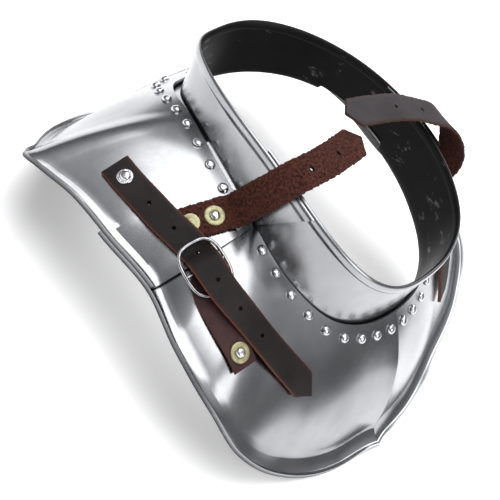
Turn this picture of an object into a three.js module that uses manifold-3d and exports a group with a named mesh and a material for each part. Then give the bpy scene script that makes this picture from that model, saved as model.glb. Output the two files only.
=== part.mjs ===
// Steel gorget: a neck guard of two polished plates, each with a riveted standing collar.
// Millimetres, +Z up, the wearer faces -Y and the wearer's right is -X.
// The origin is on the ground under the middle of the whole piece.
import * as THREE from 'three';
import Module from 'manifold-3d';
import { mergeVertices } from 'three/addons/utils/BufferGeometryUtils.js';

const wasm = await Module();
wasm.setup();

// ---- driving dimensions ----
const STEEL = 1.5;
const LEATHER = 2;
const GAP = 0.35;
const FLANGE_LAYER = STEEL + 1.15;
const PLATE_LAYER = STEEL + 1.25;

// Neck opening at the collar's rim and at the seam where the collar meets the plates.
const RIM = { halfLength: 98.5, halfWidth: 76.5, shift: 0, egg: 0.18, power: 2.55 };
const SEAM = { halfLength: 92, halfWidth: 79.5, shift: 6, egg: 0.2, power: 2.35 };
const RIM_HEIGHT = 121;
const SEAM_HEIGHT = 85.5;
const SADDLE = 11;
const SEAM_DIP = 4.8;
const HEM_HEIGHT = 5.5;
const HEM_EXTRA = 0.8;
const FLANGE = 9;
const FLANGE_TAPER = 16;

// The two walls part where they overlap at the sides: [angle of full shift, angle of none, shift].
const FRONT_SHIFT = [62, 34, -1.9];
const BACK_SHIFT = [104, 142, 1.9];

// Outer edge of the plates about a point in front of the neck's middle:
// [angle from the front in degrees, distance, height above the ground].
const EDGE_CENTRE = 20;
const PLATE_EDGE = [
  [0, 133, 3], [17, 138, 0], [40, 152, 7], [57, 170, 28], [68, 173, 47], [80, 163, 55],
  [94, 147, 56], [109, 156, 56], [119, 165, 53], [126, 178, 47], [129.5, 185, 43],
  [136, 171, 33], [154, 150, 15], [171, 138.5, 6], [180, 137.5, 4],
];
const BORDER = 11;
const BULGE = 7;
const KEEL = 4;
const KEEL_SPREAD = 13;

// Where each half ends at the wearer's sides, at the seam and at the outer edge, in degrees.
const BACK_START = [84, 94];
const FRONT_END = [98, 110];

const rad = THREE.MathUtils.degToRad;
const clamp = THREE.MathUtils.clamp;

// ---- the surfaces that the pieces share ----
function smoothTable(table, column, angle) {
  let i = 0;
  while (i < table.length - 2 && angle > table[i + 1][0]) i += 1;
  const before = table[Math.max(i - 1, 0)];
  const from = table[i];
  const to = table[i + 1];
  const after = table[Math.min(i + 2, table.length - 1)];
  const span = to[0] - from[0];
  const t = (angle - from[0]) / span;
  const slopeFrom = i === 0 ? 0 : ((to[column] - before[column]) / (to[0] - before[0])) * span;
  const slopeTo = ((after[column] - from[column]) / (after[0] - from[0])) * span;
  const t2 = t * t;
  const t3 = t2 * t;
  return from[column] * (2 * t3 - 3 * t2 + 1) + slopeFrom * (t3 - 2 * t2 + t)
    + to[column] * (3 * t2 - 2 * t3) + slopeTo * (t3 - t2);
}

function loopPoint(loop, degrees, height) {
  const c = Math.cos(rad(degrees));
  const s = Math.sin(rad(degrees));
  const swell = (Math.abs(c) ** loop.power + Math.abs(s) ** loop.power) ** (-1 / loop.power);
  const ahead = loop.shift + loop.halfLength * c * swell;
  const aside = loop.halfWidth * s * swell * (1 + loop.egg * c);
  return new THREE.Vector3(-aside, -ahead, height);
}

function rimPoint(degrees) {
  return loopPoint(RIM, degrees, RIM_HEIGHT - SADDLE * Math.cos(2 * rad(degrees)));
}

function seamPoint(degrees) {
  const saddle = SADDLE * Math.cos(2 * rad(degrees));
  const dip = SEAM_DIP * Math.cos(3 * rad(degrees));
  return loopPoint(SEAM, degrees, SEAM_HEIGHT - saddle + dip);
}

function edgePoint(degrees) {
  const turn = Math.abs(degrees) <= 180 ? Math.abs(degrees) : 360 - Math.abs(degrees);
  const sign = Math.sin(rad(degrees)) < 0 ? -1 : 1;
  const reach = smoothTable(PLATE_EDGE, 1, turn);
  const height = smoothTable(PLATE_EDGE, 2, turn);
  const aside = sign * reach * Math.sin(rad(turn));
  const ahead = EDGE_CENTRE + reach * Math.cos(rad(turn));
  return new THREE.Vector3(-aside, -ahead, height);
}

// The plates' middle surface: v = 0 at the seam, 1 at the outer edge. The last BORDER
// millimetres turn outwards, and the front rises to a keel.
function platePoint(degrees, v) {
  const seam = seamPoint(degrees);
  const edge = edgePoint(degrees);
  const out = new THREE.Vector3(edge.x - seam.x, edge.y - seam.y, 0);
  const run = out.length();
  out.normalize();
  const slope = (seam.z - edge.z) / run;
  const border = BORDER / run;
  const bend = edge.clone().addScaledVector(out, -BORDER);
  bend.z += BORDER * slope * 0.35;
  const bendAt = 1 - border;
  const point = new THREE.Vector3();
  const t = Math.min(v / bendAt, 1);
  point.lerpVectors(seam, bend, t);
  const rise = new THREE.Vector3(out.x * slope, out.y * slope, 1).normalize();
  point.addScaledVector(rise, BULGE * 4 * t * (1 - t));
  if (v > bendAt) point.lerpVectors(bend, edge, (v - bendAt) / border);
  const ahead = Math.cos(rad(degrees)) > 0 ? Math.exp(-Math.abs(point.x) / KEEL_SPREAD) : 0;
  point.y -= KEEL * ahead * clamp(v * 3, 0, 1);
  return point;
}

function plateNormal(degrees, v) {
  const step = 0.002;
  const v0 = Math.min(v, 1 - step);
  const along = platePoint(degrees + 0.2, v0).sub(platePoint(degrees - 0.2, v0));
  const down = platePoint(degrees, v0 + step).sub(platePoint(degrees, v0));
  return along.cross(down).normalize();
}

function plateLayer(degrees, v, lift) {
  return platePoint(degrees, v).addScaledVector(plateNormal(degrees, v), lift);
}

function wallShift([full, none, shift], degrees) {
  const turn = Math.abs(degrees) <= 180 ? Math.abs(degrees) : 360 - Math.abs(degrees);
  const past = (turn - full) / (none - full);
  return shift * (1 - THREE.MathUtils.smoothstep(past, 0, 1));
}

function ringNormal(point, degrees) {
  const ahead = point(degrees + 0.3);
  const behind = point(degrees - 0.3);
  const along = ahead.sub(behind);
  return new THREE.Vector3(-along.y, along.x, 0).normalize();
}

// ---- closed bodies ----
// A sheet of cols x rows cells: at(u, v, side) gives its outer (side 1) and inner (side -1) skin.
function sheet(cols, rows, at) {
  const places = [];
  for (const side of [1, -1]) {
    for (let i = 0; i <= cols; i += 1) {
      for (let j = 0; j <= rows; j += 1) places.push(at(i / cols, j / rows, side));
    }
  }
  const skin = (cols + 1) * (rows + 1);
  const id = (i, j, inner) => i * (rows + 1) + j + (inner ? skin : 0);
  const faces = [];
  const quad = (a, b, c, d) => faces.push(a, b, c, a, c, d);
  for (let i = 0; i < cols; i += 1) {
    for (let j = 0; j < rows; j += 1) {
      quad(id(i, j), id(i + 1, j), id(i + 1, j + 1), id(i, j + 1));
      quad(id(i, j, 1), id(i, j + 1, 1), id(i + 1, j + 1, 1), id(i + 1, j, 1));
    }
    quad(id(i, 0), id(i, 0, 1), id(i + 1, 0, 1), id(i + 1, 0));
    quad(id(i, rows), id(i + 1, rows), id(i + 1, rows, 1), id(i, rows, 1));
  }
  for (let j = 0; j < rows; j += 1) {
    quad(id(0, j), id(0, j + 1), id(0, j + 1, 1), id(0, j, 1));
    quad(id(cols, j), id(cols, j, 1), id(cols, j + 1, 1), id(cols, j + 1));
  }
  return closedGeometry(places, faces);
}

function closedGeometry(places, faces) {
  const geometry = new THREE.BufferGeometry();
  const flat = places.flatMap((p) => [p.x, p.y, p.z]);
  geometry.setAttribute('position', new THREE.Float32BufferAttribute(flat, 3));
  geometry.setIndex(faces);
  let volume = 0;
  for (let k = 0; k < faces.length; k += 3) {
    const [a, b, c] = [places[faces[k]], places[faces[k + 1]], places[faces[k + 2]]];
    volume += a.dot(b.clone().cross(c));
  }
  if (volume < 0) {
    const turned = [];
    for (let k = 0; k < faces.length; k += 3) turned.push(faces[k], faces[k + 2], faces[k + 1]);
    geometry.setIndex(turned);
  }
  return geometry;
}

const gorget = new THREE.Group();

function addPiece(name, geometry, material) {
  const mesh = new THREE.Mesh(geometry, material.clone());
  mesh.name = name;
  gorget.add(mesh);
  return mesh;
}

const steel = new THREE.MeshStandardMaterial({ color: 0xb4b6ba, roughness: 0.22, metalness: 1 });

// ---- plates ----
const REAR_CORNER = 129.5;
const PLATE_ROWS = [0, 0.12, 0.28, 0.45, 0.62, 0.78];
const NECK_CLEARANCE = 2;

// Angles of the columns across half a sheet, with closer ones at a sharp turn.
function columnAngles(start, end, step, turn) {
  const angles = [];
  for (let angle = start; angle < end - step / 2; angle += step) {
    if (Math.abs(angle - turn) > step) angles.push(angle);
  }
  for (const near of [-4, -1.5, 0, 1.5, 4]) {
    if (turn + near > start && turn + near < end) angles.push(turn + near);
  }
  angles.push(end);
  return angles.sort((a, b) => a - b);
}

const frontHalf = [0, 0.5, 1.5, 3.5, ...columnAngles(7, 100, 5.2, 400)];
const FRONT_COLUMNS = [...frontHalf.slice(1).map((angle) => -angle).reverse(), ...frontHalf];
const backHalf = columnAngles(BACK_START[0], 180, 5.4, REAR_CORNER);
const BACK_COLUMNS = [...backHalf, ...backHalf.slice(0, -1).map((angle) => 360 - angle).reverse()];

function plateRun(degrees) {
  const seam = seamPoint(degrees);
  const edge = edgePoint(degrees);
  return Math.hypot(edge.x - seam.x, edge.y - seam.y);
}

// The rows run from the neck edge to the border, and end in two across the border itself.
function plateRow(degrees, row) {
  const border = BORDER / plateRun(degrees);
  const marks = PLATE_ROWS.map((mark) => mark * (1 - border) / 0.9);
  return [...marks, 1 - border, 1 - border / 2, 1][row];
}

// The cut ends slant: the columns lean with them and straighten towards the middle.
function leaning(angle, v, seamEnd, edgeEnd, middle) {
  const share = clamp((angle - middle) / (seamEnd - middle), -1, 1);
  const lean = (edgeEnd - seamEnd) * Math.abs(share) ** 6;
  return angle + Math.sign(share) * lean * v;
}

function plateSheet(columns, lean, lift, parting) {
  const rows = PLATE_ROWS.length + 2;
  return sheet(columns.length - 1, rows, (u, j, side) => {
    const angle = columns[Math.round(u * (columns.length - 1))];
    const clearance = NECK_CLEARANCE + wallShift(parting, angle);
    const v = Math.max(plateRow(angle, Math.round(j * rows)), clearance / plateRun(angle));
    return plateLayer(lean(angle, v), v, lift + side * STEEL / 2);
  });
}

function frontLean(angle, v) {
  return leaning(angle, v, FRONT_END[0], FRONT_END[1], 0);
}

function backLean(angle, v) {
  const start = angle <= 180 ? BACK_START : BACK_START.map((end) => 360 - end);
  return leaning(angle, v, start[0], start[1], 180);
}

addPiece('front_plate', plateSheet(FRONT_COLUMNS, frontLean, 0, FRONT_SHIFT), steel);
addPiece('back_plate', plateSheet(BACK_COLUMNS, backLean, PLATE_LAYER, BACK_SHIFT), steel);

// ---- collars ----
// Each wall stands on a flange that lies under its plate, and ends in a folded hem.
const WALL_MARKS = [0.35, 0.65];

function collarSheet(columns, ends, middle, parting, flangeLift, flangeReach) {
  const rows = WALL_MARKS.length + 6;
  return sheet(columns.length - 1, rows, (u, j, side) => {
    const row = Math.round(j * rows);
    const angle = columns[Math.round(u * (columns.length - 1))];
    const wallTop = row < 2 ? 0 : (row - 2) / (rows - 2);
    const toward = angle < middle ? -1 : 1;
    const [foot, head] = ends.map((end) => middle + toward * end);
    const degrees = leaning(angle, wallTop, foot, head, middle);
    const out = ringNormal(seamPoint, degrees);
    const outset = wallShift(parting, degrees);
    const turn = Math.abs(middle - degrees);
    if (row < 2 && turn < flangeReach) {
      const taper = 1 - THREE.MathUtils.smoothstep(turn, flangeReach - FLANGE_TAPER, flangeReach);
      const reach = row === 0 ? 0.4 + FLANGE * taper : 0;
      const run = (2.2 + outset + reach) / plateRun(degrees);
      return plateLayer(degrees, run, flangeLift + side * STEEL / 2);
    }
    const low = seamPoint(degrees).addScaledVector(out, outset);
    const high = rimPoint(degrees).addScaledVector(ringNormal(rimPoint, degrees), outset);
    const wall = high.sub(low);
    const length = wall.length();
    const hem = [HEM_HEIGHT + 0.6, HEM_HEIGHT, 0.6, 0].map((drop) => 1 - drop / length);
    const mark = [2.4 / length, 2.9 / length, 3.5 / length, ...WALL_MARKS, ...hem][row];
    const inHem = row >= rows - 2;
    const half = STEEL / 2 + (inHem ? HEM_EXTRA : 0) - (row === rows ? 0.6 : 0);
    return low.addScaledVector(wall, mark).addScaledVector(out, side * half);
  });
}

const FRONT_COLLAR_END = [86, 96];
const BACK_COLLAR_END = [96, 112];
const frontCollarColumns = [-86, ...FRONT_COLUMNS.filter((angle) => Math.abs(angle) < 83), 86];

const frontWall = collarSheet(frontCollarColumns, FRONT_COLLAR_END, 0, FRONT_SHIFT, -FLANGE_LAYER, 90);
const backWall = collarSheet(BACK_COLUMNS, BACK_COLLAR_END, 180, BACK_SHIFT, PLATE_LAYER - FLANGE_LAYER, 62);
addPiece('front_collar', frontWall, steel);
addPiece('back_collar', backWall, steel);

// ---- collar rivets ----
const RIVET_RADIUS = 3.4;
const RIVET_HEIGHT = 2.4;
const RIVET_INSET = 6.5;

function domeProfile(radius, height, steps) {
  const points = [new THREE.Vector2(0, 0)];
  for (let k = 0; k <= steps; k += 1) {
    const angle = (k / steps) * (Math.PI / 2);
    points.push(new THREE.Vector2(radius * Math.cos(angle), height * Math.sin(angle)));
  }
  points[points.length - 1].x = 0;
  return points;
}

function turned(profile, sides) {
  const geometry = new THREE.LatheGeometry(profile, sides);
  geometry.deleteAttribute('normal');
  geometry.deleteAttribute('uv');
  return mergeVertices(geometry, 1e-4);
}

function standOn(mesh, place, normal) {
  mesh.position.copy(place);
  mesh.quaternion.setFromUnitVectors(new THREE.Vector3(0, 1, 0), normal);
}

// Angles at equal steps along the seam, either side of the middle of a half; an odd row has one on it.
function evenAngles(middle, count, pitch) {
  const angles = [];
  const odd = count % 2 === 1;
  let angle = middle;
  let walked = odd ? -pitch : -pitch / 2;
  let last = seamPoint(angle);
  while (angles.length < Math.floor(count / 2)) {
    angle += 0.25;
    const next = seamPoint(angle);
    walked += next.distanceTo(last);
    last = next;
    if (walked >= 0) {
      angles.push(angle);
      walked -= pitch;
    }
  }
  return [...angles.map((value) => 2 * middle - value).reverse(), ...(odd ? [middle] : []), ...angles];
}

function rivetRow(half, middle, count, pitch, lift, parting) {
  const dome = turned(domeProfile(RIVET_RADIUS, RIVET_HEIGHT, 3), 8);
  evenAngles(middle, count, pitch).forEach((degrees, index) => {
    const v = (RIVET_INSET + wallShift(parting, degrees)) / plateRun(degrees);
    const rivet = addPiece(`${half}_rivet_${index + 1}`, dome, steel);
    standOn(rivet, plateLayer(degrees, v, lift), plateNormal(degrees, v));
  });
}

const ON_FRONT = STEEL / 2 + GAP;
const ON_BACK = PLATE_LAYER + STEEL / 2 + GAP;
rivetRow('front_collar', 0, 18, 14.6, ON_FRONT, FRONT_SHIFT);
rivetRow('back_collar', 180, 17, 15, ON_BACK, BACK_SHIFT);

// ---- straps ----
const leather = new THREE.MeshStandardMaterial({ color: 0x2d2524, roughness: 0.55, metalness: 0 });
const suede = new THREE.MeshStandardMaterial({ color: 0x54291f, roughness: 0.95, metalness: 0 });
const brass = new THREE.MeshStandardMaterial({ color: 0xb5ae78, roughness: 0.35, metalness: 1 });
const STRAP_WIDTH = 18.8;
const CHAPE_WIDTH = 17;
const HOLE_RADIUS = 2;

// A strap follows a centre line; across(t) is the direction of its width.
function strapGeometry(line, across, width, thick, steps, tip) {
  const length = line.getLength();
  const sideAt = (t) => {
    const tangent = line.getTangentAt(t);
    return across(t).addScaledVector(tangent, -across(t).dot(tangent)).normalize();
  };
  const geometry = sheet(steps, 2, (u, j, side) => {
    const t = u === 1 ? 1 : (u * (1 - tip / length)) / (tip > 0 ? 1 - 1 / steps : 1);
    const beside = sideAt(t);
    const normal = line.getTangentAt(t).cross(beside).normalize();
    const half = tip > 0 && u === 1 ? 0.6 : width / 2;
    const place = line.getPointAt(t).addScaledVector(beside, (2 * j - 1) * half);
    return place.addScaledVector(normal, side * thick / 2);
  });
  return { geometry, sideAt, line, thick };
}

function solidOf(geometry) {
  const bare = new THREE.BufferGeometry();
  bare.setAttribute('position', geometry.getAttribute('position').clone());
  bare.setIndex(geometry.index.clone());
  const merged = mergeVertices(bare, 1e-4);
  return new wasm.Manifold(new wasm.Mesh({
    numProp: 3,
    vertProperties: new Float32Array(merged.attributes.position.array),
    triVerts: new Uint32Array(merged.index.array),
  }));
}

function geometryOf(solid) {
  const mesh = solid.getMesh();
  const geometry = new THREE.BufferGeometry();
  geometry.setAttribute('position', new THREE.Float32BufferAttribute(mesh.vertProperties, 3));
  geometry.setIndex(Array.from(mesh.triVerts));
  return geometry;
}

function punched(strap, marks, radius) {
  let solid = solidOf(strap.geometry);
  for (const t of marks) {
    const bore = [[0, -9], [radius, -9], [radius, 9], [0, 9]].map((p) => new THREE.Vector2(...p));
    const drill = turned(bore, 8);
    const normal = strap.line.getTangentAt(t).cross(strap.sideAt(t)).normalize();
    const pose = new THREE.Object3D();
    standOn(pose, strap.line.getPointAt(t), normal);
    pose.updateMatrix();
    drill.applyMatrix4(pose.matrix);
    solid = solid.subtract(solidOf(drill));
  }
  return geometryOf(solid);
}

function mirrored(geometry) {
  const copy = geometry.clone();
  const position = copy.attributes.position;
  for (let i = 0; i < position.count; i += 1) position.setX(i, -position.getX(i));
  const index = Array.from(copy.index.array);
  for (let k = 0; k < index.length; k += 3) [index[k], index[k + 1]] = [index[k + 1], index[k]];
  copy.setIndex(index);
  return copy;
}

// Stations of a route that lies on the plates: [angle, v, lift above the plates' surface].
function surfaceLine(stations) {
  const points = stations.map(([degrees, v, lift]) => plateLayer(degrees, v, lift));
  return new THREE.CatmullRomCurve3(points, false, 'centripetal');
}

function surfaceAcross(stations, line) {
  return (t) => {
    const at = line.getUtoTmapping(t) * (stations.length - 1);
    const i = Math.min(Math.floor(at), stations.length - 2);
    const [a, b] = [stations[i], stations[i + 1]];
    const degrees = a[0] + (b[0] - a[0]) * (at - i);
    const normal = plateNormal(degrees, a[1] + (b[1] - a[1]) * (at - i));
    return normal.cross(line.getTangentAt(t));
  };
}

// ---- side fastening: strap, buckle and chape, on both sides ----
const WIRE = 1.1;
const BAR = 0.9;
const BAR_AT = [86.3, 0.53];
const BUCKLE_AT = [86.3, 0.54];
const BUCKLE = { halfLength: 15.8, halfWidth: 12.6, lift: 8.6, tilt: 0.27 };
const SIDE_ROUTE = [
  [121, 0.625, 5.2], [117, 0.628, 5.2], [113, 0.62, 5.4], [108, 0.605, 6.8], [103.5, 0.595, 8.8],
  [98, 0.57, 9.3], [94, 0.55, 8.8], [91.5, 0.54, 8.4], [...BAR_AT, 13.4],
  [81, 0.52, 9.8], [77, 0.5, 7.4], [73, 0.48, 6.4], [63.5, 0.435, 4.8],
  [55, 0.405, 3.1], [48, 0.415, 3], [41.5, 0.455, 3],
];
const HOLE_START = 32;
const HOLE_PITCH = 21;
const TONGUE_HOLE = 2;
const CHAPE_LEATHER = 1.4;
const CHAPE_ROUTE = [
  [65.5, 0.635, 2.9], [69, 0.62, 2.8], [73, 0.615, 2.8], [78, 0.61, 2.8], [82, 0.6, 2.9], [84.5, 0.575, 3.6],
];

const sideLine = surfaceLine(SIDE_ROUTE);
const sideStrap = strapGeometry(sideLine, surfaceAcross(SIDE_ROUTE, sideLine), STRAP_WIDTH, LEATHER, 46, 11);
const sideHoles = [0, 1, 2, 3, 4, 5].map((k) => (HOLE_START + k * HOLE_PITCH) / sideLine.getLength());

function pairOf(name, geometry, material) {
  addPiece(`right_${name}`, geometry, material);
  addPiece(`left_${name}`, mirrored(geometry), material);
}

pairOf('side_strap', punched(sideStrap, sideHoles, HOLE_RADIUS), leather);

// The buckle's own frame at the bar: along the strap, across it, and up off the plate.
const barUp = plateNormal(...BUCKLE_AT);
const barPlace = plateLayer(...BUCKLE_AT, BUCKLE.lift);
const routePlace = plateLayer(...BAR_AT, BUCKLE.lift);
const tonguePlace = sideLine.getPointAt(sideHoles[TONGUE_HOLE]);
const alongFlat = routePlace.clone().sub(tonguePlace);
const barAlong = alongFlat.addScaledVector(barUp, -alongFlat.dot(barUp)).normalize();
const barAcross = barUp.clone().cross(barAlong);
const buckleSet = new THREE.Matrix4().makeBasis(
  barAlong.clone().addScaledVector(barUp, -BUCKLE.tilt).normalize(),
  barAcross,
  barUp.clone().addScaledVector(barAlong, BUCKLE.tilt).normalize(),
).setPosition(barPlace);

// A closed wire loop: sections of a round wire set along an oval with squared shoulders.
function wireLoop(halfLength, halfWidth, radius, steps, sides) {
  const places = [];
  const faces = [];
  for (let i = 0; i < steps; i += 1) {
    const turn = (i / steps) * 2 * Math.PI;
    const [c, s] = [Math.cos(turn), Math.sin(turn)];
    const swell = (Math.abs(c) ** 3 + Math.abs(s) ** 3) ** (-1 / 3);
    const centre = new THREE.Vector3(halfLength * c * swell, halfWidth * s * swell, 0);
    const out = new THREE.Vector3(c * Math.abs(c) / halfLength, s * Math.abs(s) / halfWidth, 0).normalize();
    for (let j = 0; j < sides; j += 1) {
      const lean = (j / sides) * 2 * Math.PI;
      places.push(centre.clone().addScaledVector(out, radius * Math.cos(lean))
        .add(new THREE.Vector3(0, 0, radius * Math.sin(lean))));
      const next = (i + 1) % steps;
      const up = (j + 1) % sides;
      const [a, b, c, d] = [i * sides + j, next * sides + j, next * sides + up, i * sides + up];
      faces.push(a, b, c, a, c, d);
    }
  }
  return closedGeometry(places, faces);
}

function rodAlong(points, radius, sides) {
  const section = new THREE.Shape();
  for (let k = 0; k < sides; k += 1) {
    const turn = (k / sides) * 2 * Math.PI;
    const place = [radius * Math.cos(turn), radius * Math.sin(turn)];
    if (k === 0) section.moveTo(...place);
    else section.lineTo(...place);
  }
  const path = new THREE.CatmullRomCurve3(points);
  const steps = (points.length - 1) * 3;
  const rod = new THREE.ExtrudeGeometry(section, { steps, extrudePath: path, bevelEnabled: false });
  rod.deleteAttribute('normal');
  rod.deleteAttribute('uv');
  return mergeVertices(rod, 1e-4);
}

const v3 = (x, y, z) => new THREE.Vector3(x, y, z);
const bar = rodAlong([v3(0, -BUCKLE.halfWidth, 0), v3(0, 0, 0), v3(0, BUCKLE.halfWidth, 0)], BAR, 8);
const oval = wireLoop(BUCKLE.halfLength, BUCKLE.halfWidth, WIRE, 28, 8);
pairOf('buckle', geometryOf(solidOf(oval).add(solidOf(bar))).applyMatrix4(buckleSet), steel);

// The tongue runs under the strap and comes up through its hole against the oval.
const hole = tonguePlace.clone().applyMatrix4(buckleSet.clone().invert());
const tongueRoute = [v3(-4.4, 0, -0.8), v3(hole.x + 3.4, hole.y, hole.z - 4.2), v3(hole.x + 0.2, hole.y, hole.z - 2.2)];
tongueRoute.push(v3(hole.x, hole.y, hole.z), v3(hole.x - 0.2, hole.y, hole.z + 2.2));
pairOf('buckle_tongue', rodAlong(tongueRoute, 0.65, 6).applyMatrix4(buckleSet), steel);

// The chape lies on the front plate and is folded round the bar from below.
const LOOP = BAR + 2 * GAP + CHAPE_LEATHER / 2;
const loopPoints = [];
for (let k = 0; k <= 5; k += 1) {
  const turn = THREE.MathUtils.lerp(-90, -255, k / 5);
  loopPoints.push(v3(LOOP * Math.cos(rad(turn)), 0, LOOP * Math.sin(rad(turn))).applyMatrix4(buckleSet));
}
const chapeFoot = CHAPE_ROUTE.map(([degrees, v, lift]) => plateLayer(degrees, v, lift));
const foldedLine = new THREE.CatmullRomCurve3([...chapeFoot, ...loopPoints], false, 'centripetal');
const chapeAcross = (t) => {
  const along = foldedLine.getUtoTmapping(t) * (foldedLine.points.length - 1);
  const at = Math.min(along, CHAPE_ROUTE.length - 1);
  const i = Math.min(Math.floor(at), CHAPE_ROUTE.length - 2);
  const [a, b] = [CHAPE_ROUTE[i], CHAPE_ROUTE[i + 1]];
  const degrees = a[0] + (b[0] - a[0]) * (at - i);
  const towards = chapeFoot[1].clone().sub(chapeFoot[3]);
  const flat = plateNormal(degrees, a[1]).cross(towards).normalize();
  return flat.lerp(barAcross, THREE.MathUtils.smoothstep(t, 0.3, 0.75));
};
const chape = strapGeometry(foldedLine, chapeAcross, CHAPE_WIDTH, CHAPE_LEATHER, 38, 0);
pairOf('chape', chape.geometry, leather);

// ---- shoulder straps: they stand up beside the collar and lie across its rim ----
const SHOULDER_WIDTH = 20.5;
const rightShoulder = [
  plateLayer(99.8, 0.53, 5), plateLayer(97.3, 0.38, 5), plateLayer(95.7, 0.3, 5), plateLayer(94.3, 0.22, 5.8),
  v3(-95, -4, 100), v3(-95.5, -8, 115), v3(-95, -12, 131), v3(-88, -15, 144), v3(-70, -17, 150),
  v3(-46, -16.5, 152), v3(-24, -15, 152.5),
];
const leftShoulder = [
  plateLayer(-99.8, 0.53, 5), plateLayer(-97.3, 0.38, 5), plateLayer(-95.7, 0.3, 5),
  plateLayer(-94.3, 0.22, 5.8),
  v3(96, -18, 99), v3(97, -33, 99), v3(98, -45, 106), v3(96, -46, 119), v3(91, -38, 133),
  v3(80, -27, 143), v3(62, -19, 147), v3(38, -10, 150), v3(-15, 2.4, 150),
];
const SHOULDER_FOOT = 0.3;

function shoulderStrap(points, side) {
  const line = new THREE.CatmullRomCurve3(points, false, 'centripetal');
  const across = (t) => {
    const foot = plateNormal(side * 98, 0.3).cross(line.getTangentAt(0.06)).multiplyScalar(-side);
    const level = new THREE.Vector3(0, -1, 0);
    const risen = THREE.MathUtils.smoothstep(t, SHOULDER_FOOT / 2, SHOULDER_FOOT * 1.5);
    return foot.normalize().lerp(level, risen);
  };
  return strapGeometry(line, across, SHOULDER_WIDTH, LEATHER, 40, 8);
}

const rightStrap = shoulderStrap(rightShoulder, 1);
const leftStrap = shoulderStrap(leftShoulder, -1);
addPiece('right_shoulder_strap', punched(rightStrap, [0.62, 0.8], HOLE_RADIUS), suede);
addPiece('left_shoulder_strap', punched(leftStrap, [0.66, 0.78], HOLE_RADIUS), suede);

// ---- strap rivets and their washers ----
function washerProfile(inner, outer, thick) {
  return [[inner, 0], [outer, 0], [outer, thick * 0.6], [outer - 0.5, thick], [inner, thick], [inner, 0]]
    .map((p) => new THREE.Vector2(...p));
}

const washer = turned(washerProfile(3.4, 6.2, 0.9), 18);
const strapDome = turned(domeProfile(3.1, 2.2, 3), 10);
const ringedProfile = [
  [0, 0], [5.4, 0], [5.4, 0.4], [4.9, 0.6], [3.4, 0.6], [2.8, 1.6], [1.6, 2.3], [0, 2.6],
];
const flatProfile = [[0, 0], [5.4, 0], [5.4, 0.5], [3, 0.7], [2.4, 1.1], [0, 1.2]];
const flatHead = turned(flatProfile.map((p) => new THREE.Vector2(...p)), 16);
const ringedDome = turned(ringedProfile.map((p) => new THREE.Vector2(...p)), 16);
function seatOn(strap, t, side) {
  const normal = strap.line.getTangentAt(t).cross(strap.sideAt(t)).normalize();
  if (normal.z < 0) normal.negate();
  const place = strap.line.getPointAt(t).addScaledVector(normal, strap.thick / 2 + GAP);
  if (side < 0) {
    place.x = -place.x;
    normal.x = -normal.x;
  }
  return [place, normal];
}

function fasten(name, pieces, seat) {
  for (const [suffix, geometry, material] of pieces) {
    standOn(addPiece(`${name}_${suffix}`, geometry, material), ...seat);
  }
}

const riveted = [['rivet', strapDome, steel], ['washer', washer, brass]];
const chapeRivet = geometryOf(solidOf(strapDome).add(solidOf(turned(washerProfile(2.6, 6.2, 0.9), 18))));
for (const [word, side, shoulder] of [['right', 1, rightStrap], ['left', -1, leftStrap]]) {
  fasten(`${word}_side_strap`, [['rivet', ringedDome, steel]], seatOn(sideStrap, 0.055, side));
  fasten(`${word}_chape`, [['rivet', chapeRivet, brass]], seatOn(chape, 0.14, side));
  fasten(`${word}_shoulder_upper`, riveted, seatOn(shoulder, 0.14, 1));
  fasten(`${word}_shoulder_lower`, [['rivet', flatHead, brass]], seatOn(shoulder, 0.04, 1));
}

// Stand the whole on the ground, centred over the origin.
const extent = new THREE.Box3().setFromObject(gorget);
const middle = extent.getCenter(new THREE.Vector3());
for (const mesh of gorget.children) mesh.position.sub(v3(middle.x, middle.y, extent.min.z));

export default gorget;
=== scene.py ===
import math

import bmesh
import bpy
from mathutils import Matrix, Vector, noise


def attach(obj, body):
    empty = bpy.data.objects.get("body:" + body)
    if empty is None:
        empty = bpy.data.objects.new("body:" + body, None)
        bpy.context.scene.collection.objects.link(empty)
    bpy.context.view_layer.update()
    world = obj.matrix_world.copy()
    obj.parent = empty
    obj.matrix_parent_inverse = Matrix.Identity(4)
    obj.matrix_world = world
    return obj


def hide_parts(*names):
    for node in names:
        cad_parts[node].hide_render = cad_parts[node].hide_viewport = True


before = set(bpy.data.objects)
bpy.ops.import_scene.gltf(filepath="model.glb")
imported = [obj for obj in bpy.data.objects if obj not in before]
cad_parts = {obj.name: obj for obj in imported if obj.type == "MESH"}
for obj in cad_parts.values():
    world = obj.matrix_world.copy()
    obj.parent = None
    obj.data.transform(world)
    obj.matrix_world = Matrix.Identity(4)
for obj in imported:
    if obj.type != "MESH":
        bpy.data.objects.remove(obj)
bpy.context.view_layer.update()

# The camera: a long lens to the wearer's right, a little ahead and above, with the gorget's front
# swung down to the lower right of the frame.
HEIGHT, TURN, ROLL = math.radians(32), math.radians(9), math.radians(45)
AIM_RIGHT, AIM_UP = 0.03735, 0.05036
towards = Vector((-math.cos(HEIGHT) * math.cos(TURN), -math.cos(HEIGHT) * math.sin(TURN), math.sin(HEIGHT)))
level = Vector((0, 0, 1)).cross(towards).normalized()
upright = towards.cross(level)
right = math.cos(ROLL) * level + math.sin(ROLL) * upright
up = math.cos(ROLL) * upright - math.sin(ROLL) * level
camera_data = bpy.data.cameras.new("camera")
camera_data.sensor_width = 36
camera_data.lens = 158.4
camera = bpy.data.objects.new("camera", camera_data)
bpy.context.scene.collection.objects.link(camera)
back = (towards + AIM_RIGHT * right + AIM_UP * up).normalized()
across = (right - right.dot(back) * back).normalized()
turn = Matrix((across, back.cross(across), back)).transposed().to_4x4()
camera.matrix_world = Matrix.Translation((-1.1056, -0.1562, 0.8219)) @ turn
bpy.context.scene.camera = camera

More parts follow.
